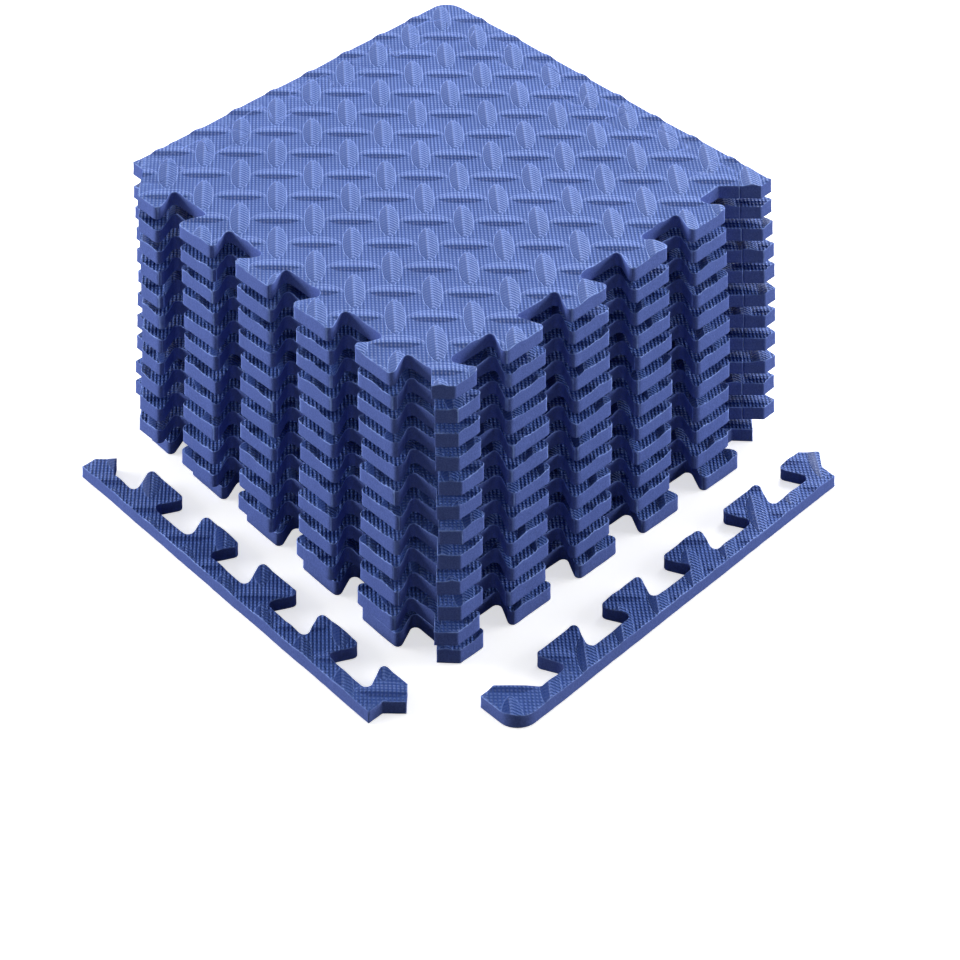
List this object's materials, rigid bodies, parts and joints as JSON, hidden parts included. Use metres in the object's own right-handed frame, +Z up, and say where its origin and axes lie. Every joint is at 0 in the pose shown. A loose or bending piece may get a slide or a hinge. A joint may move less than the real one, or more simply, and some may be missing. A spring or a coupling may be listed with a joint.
{
  "type": "stack of interlocking foam mats",
  "caption": "Stack of square interlocking foam mats with raised lozenge tread; toothed border strips edge the far sides, and loose strips lie beside the stack.",
  "frame": {"origin": "on the floor under the middle of the stack, in the plane of the bottom mat's underside", "axes": "+Z up; the mats' sides lie along X and Y; the border strips in place are on the +X and +Y sides, and the loose pair lies off the -X and -Y sides"},
  "size_m": [0.385, 0.3993, 0.1805],
  "materials": {
    "foam": "closed-cell foam, satin skin with a fine embossed grain, smooth cut edges"
  },
  "bodies": {
    "mat_01": {"mat_01": "foam"},
    "straight_border_01": {"straight_border_01": "foam"},
    "corner_border_01": {"corner_border_01": "foam"},
    "mat_02": {"mat_02": "foam"},
    "straight_border_02": {"straight_border_02": "foam"},
    "corner_border_02": {"corner_border_02": "foam"},
    "mat_03": {"mat_03": "foam"},
    "straight_border_03": {"straight_border_03": "foam"},
    "corner_border_03": {"corner_border_03": "foam"},
    "mat_04": {"mat_04": "foam"},
    "straight_border_04": {"straight_border_04": "foam"},
    "corner_border_04": {"corner_border_04": "foam"},
    "mat_05": {"mat_05": "foam"},
    "straight_border_05": {"straight_border_05": "foam"},
    "corner_border_05": {"corner_border_05": "foam"},
    "mat_06": {"mat_06": "foam"},
    "straight_border_06": {"straight_border_06": "foam"},
    "corner_border_06": {"corner_border_06": "foam"},
    "mat_07": {"mat_07": "foam"},
    "straight_border_07": {"straight_border_07": "foam"},
    "corner_border_07": {"corner_border_07": "foam"},
    "mat_08": {"mat_08": "foam"},
    "straight_border_08": {"straight_border_08": "foam"},
    "corner_border_08": {"corner_border_08": "foam"},
    "mat_09": {"mat_09": "foam"},
    "straight_border_09": {"straight_border_09": "foam"},
    "corner_border_09": {"corner_border_09": "foam"},
    "mat_10": {"mat_10": "foam"},
    "straight_border_10": {"straight_border_10": "foam"},
    "corner_border_10": {"corner_border_10": "foam"},
    "mat_11": {"mat_11": "foam"},
    "straight_border_11": {"straight_border_11": "foam"},
    "corner_border_11": {"corner_border_11": "foam"},
    "mat_12": {"mat_12": "foam"},
    "straight_border_12": {"straight_border_12": "foam"},
    "corner_border_12": {"corner_border_12": "foam"}
  },
  "joints": [
    {"name": "straight_border_01_slide", "type": "slide", "parent": "mat_01", "child": "straight_border_01", "axis": [-1, 0, 0], "range_m": [-0.012, 0.05]},
    {"name": "corner_border_01_slide", "type": "slide", "parent": "mat_01", "child": "corner_border_01", "axis": [0, -1, 0], "range_m": [-0.016, 0.05]},
    {"name": "mat_02_lift", "type": "slide", "parent": "mat_01", "child": "mat_02", "axis": [0, 0, 1], "range_m": [0, 0.04]},
    {"name": "straight_border_02_lift", "type": "slide", "parent": "mat_02", "child": "straight_border_02", "axis": [0, 0, 1], "range_m": [0, 0.02]},
    {"name": "corner_border_02_lift", "type": "slide", "parent": "mat_02", "child": "corner_border_02", "axis": [0, 0, 1], "range_m": [0, 0.02]},
    {"name": "mat_03_lift", "type": "slide", "parent": "mat_02", "child": "mat_03", "axis": [0, 0, 1], "range_m": [0, 0.04]},
    {"name": "straight_border_03_lift", "type": "slide", "parent": "mat_03", "child": "straight_border_03", "axis": [0, 0, 1], "range_m": [0, 0.02]},
    {"name": "corner_border_03_lift", "type": "slide", "parent": "mat_03", "child": "corner_border_03", "axis": [0, 0, 1], "range_m": [0, 0.02]},
    {"name": "mat_04_lift", "type": "slide", "parent": "mat_03", "child": "mat_04", "axis": [0, 0, 1], "range_m": [0, 0.04]},
    {"name": "straight_border_04_lift", "type": "slide", "parent": "mat_04", "child": "straight_border_04", "axis": [0, 0, 1], "range_m": [0, 0.02]},
    {"name": "corner_border_04_lift", "type": "slide", "parent": "mat_04", "child": "corner_border_04", "axis": [0, 0, 1], "range_m": [0, 0.02]},
    {"name": "mat_05_lift", "type": "slide", "parent": "mat_04", "child": "mat_05", "axis": [0, 0, 1], "range_m": [0, 0.04]},
    {"name": "straight_border_05_lift", "type": "slide", "parent": "mat_05", "child": "straight_border_05", "axis": [0, 0, 1], "range_m": [0, 0.02]},
    {"name": "corner_border_05_lift", "type": "slide", "parent": "mat_05", "child": "corner_border_05", "axis": [0, 0, 1], "range_m": [0, 0.02]},
    {"name": "mat_06_lift", "type": "slide", "parent": "mat_05", "child": "mat_06", "axis": [0, 0, 1], "range_m": [0, 0.04]},
    {"name": "straight_border_06_lift", "type": "slide", "parent": "mat_06", "child": "straight_border_06", "axis": [0, 0, 1], "range_m": [0, 0.02]},
    {"name": "corner_border_06_lift", "type": "slide", "parent": "mat_06", "child": "corner_border_06", "axis": [0, 0, 1], "range_m": [0, 0.02]},
    {"name": "mat_07_lift", "type": "slide", "parent": "mat_06", "child": "mat_07", "axis": [0, 0, 1], "range_m": [0, 0.04]},
    {"name": "straight_border_07_lift", "type": "slide", "parent": "mat_07", "child": "straight_border_07", "axis": [0, 0, 1], "range_m": [0, 0.02]},
    {"name": "corner_border_07_lift", "type": "slide", "parent": "mat_07", "child": "corner_border_07", "axis": [0, 0, 1], "range_m": [0, 0.02]},
    {"name": "mat_08_lift", "type": "slide", "parent": "mat_07", "child": "mat_08", "axis": [0, 0, 1], "range_m": [0, 0.04]},
    {"name": "straight_border_08_lift", "type": "slide", "parent": "mat_08", "child": "straight_border_08", "axis": [0, 0, 1], "range_m": [0, 0.02]},
    {"name": "corner_border_08_lift", "type": "slide", "parent": "mat_08", "child": "corner_border_08", "axis": [0, 0, 1], "range_m": [0, 0.02]},
    {"name": "mat_09_lift", "type": "slide", "parent": "mat_08", "child": "mat_09", "axis": [0, 0, 1], "range_m": [0, 0.04]},
    {"name": "straight_border_09_lift", "type": "slide", "parent": "mat_09", "child": "straight_border_09", "axis": [0, 0, 1], "range_m": [0, 0.02]},
    {"name": "corner_border_09_lift", "type": "slide", "parent": "mat_09", "child": "corner_border_09", "axis": [0, 0, 1], "range_m": [0, 0.02]},
    {"name": "mat_10_lift", "type": "slide", "parent": "mat_09", "child": "mat_10", "axis": [0, 0, 1], "range_m": [0, 0.04]},
    {"name": "straight_border_10_lift", "type": "slide", "parent": "mat_10", "child": "straight_border_10", "axis": [0, 0, 1], "range_m": [0, 0.02]},
    {"name": "corner_border_10_lift", "type": "slide", "parent": "mat_10", "child": "corner_border_10", "axis": [0, 0, 1], "range_m": [0, 0.02]},
    {"name": "mat_11_lift", "type": "slide", "parent": "mat_10", "child": "mat_11", "axis": [0, 0, 1], "range_m": [0, 0.04]},
    {"name": "straight_border_11_lift", "type": "slide", "parent": "mat_11", "child": "straight_border_11", "axis": [0, 0, 1], "range_m": [0, 0.02]},
    {"name": "corner_border_11_lift", "type": "slide", "parent": "mat_11", "child": "corner_border_11", "axis": [0, 0, 1], "range_m": [0, 0.02]},
    {"name": "mat_12_lift", "type": "slide", "parent": "mat_11", "child": "mat_12", "axis": [0, 0, 1], "range_m": [0, 0.04]},
    {"name": "straight_border_12_lift", "type": "slide", "parent": "mat_12", "child": "straight_border_12", "axis": [0, 0, 1], "range_m": [0, 0.03]},
    {"name": "corner_border_12_lift", "type": "slide", "parent": "mat_12", "child": "corner_border_12", "axis": [0, 0, 1], "range_m": [0, 0.03]}
  ],
  "couplings": [
    {"joint": "straight_border_02_lift", "follows": "mat_03_lift", "ratio": 0.5},
    {"joint": "corner_border_02_lift", "follows": "mat_03_lift", "ratio": 0.5},
    {"joint": "straight_border_03_lift", "follows": "mat_04_lift", "ratio": 0.5},
    {"joint": "corner_border_03_lift", "follows": "mat_04_lift", "ratio": 0.5},
    {"joint": "straight_border_04_lift", "follows": "mat_05_lift", "ratio": 0.5},
    {"joint": "corner_border_04_lift", "follows": "mat_05_lift", "ratio": 0.5},
    {"joint": "straight_border_05_lift", "follows": "mat_06_lift", "ratio": 0.5},
    {"joint": "corner_border_05_lift", "follows": "mat_06_lift", "ratio": 0.5},
    {"joint": "straight_border_06_lift", "follows": "mat_07_lift", "ratio": 0.5},
    {"joint": "corner_border_06_lift", "follows": "mat_07_lift", "ratio": 0.5},
    {"joint": "straight_border_07_lift", "follows": "mat_08_lift", "ratio": 0.5},
    {"joint": "corner_border_07_lift", "follows": "mat_08_lift", "ratio": 0.5},
    {"joint": "straight_border_08_lift", "follows": "mat_09_lift", "ratio": 0.5},
    {"joint": "corner_border_08_lift", "follows": "mat_09_lift", "ratio": 0.5},
    {"joint": "straight_border_09_lift", "follows": "mat_10_lift", "ratio": 0.5},
    {"joint": "corner_border_09_lift", "follows": "mat_10_lift", "ratio": 0.5},
    {"joint": "straight_border_10_lift", "follows": "mat_11_lift", "ratio": 0.5},
    {"joint": "corner_border_10_lift", "follows": "mat_11_lift", "ratio": 0.5},
    {"joint": "straight_border_11_lift", "follows": "mat_12_lift", "ratio": 0.5},
    {"joint": "corner_border_11_lift", "follows": "mat_12_lift", "ratio": 0.5}
  ]
}
